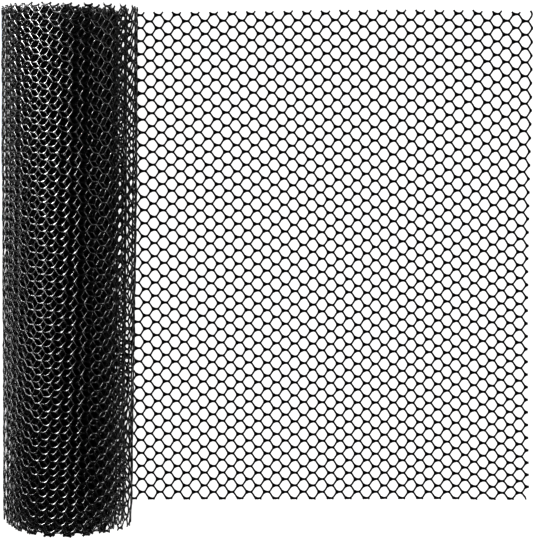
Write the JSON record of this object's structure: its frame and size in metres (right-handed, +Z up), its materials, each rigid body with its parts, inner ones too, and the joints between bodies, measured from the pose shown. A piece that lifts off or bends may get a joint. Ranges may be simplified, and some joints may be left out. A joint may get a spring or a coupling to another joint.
{
  "type": "roll of plastic chicken wire",
  "caption": "Length of black extruded plastic hexagon netting, wound in a hollow roll lying on its side, its loose end drawn out flat beside it.",
  "frame": {"origin": "on the surface that the roll lies on, at the middle of the footprint", "axes": "+Z up from that surface, +X from the roll out along the loose end, +Y along the roll"},
  "size_m": [0.427, 0.4082, 0.0997],
  "materials": {
    "net": "glossy black extruded polyethylene"
  },
  "bodies": {
    "root": {"wound_roll": "net", "loose_end": "net"}
  },
  "joints": []
}
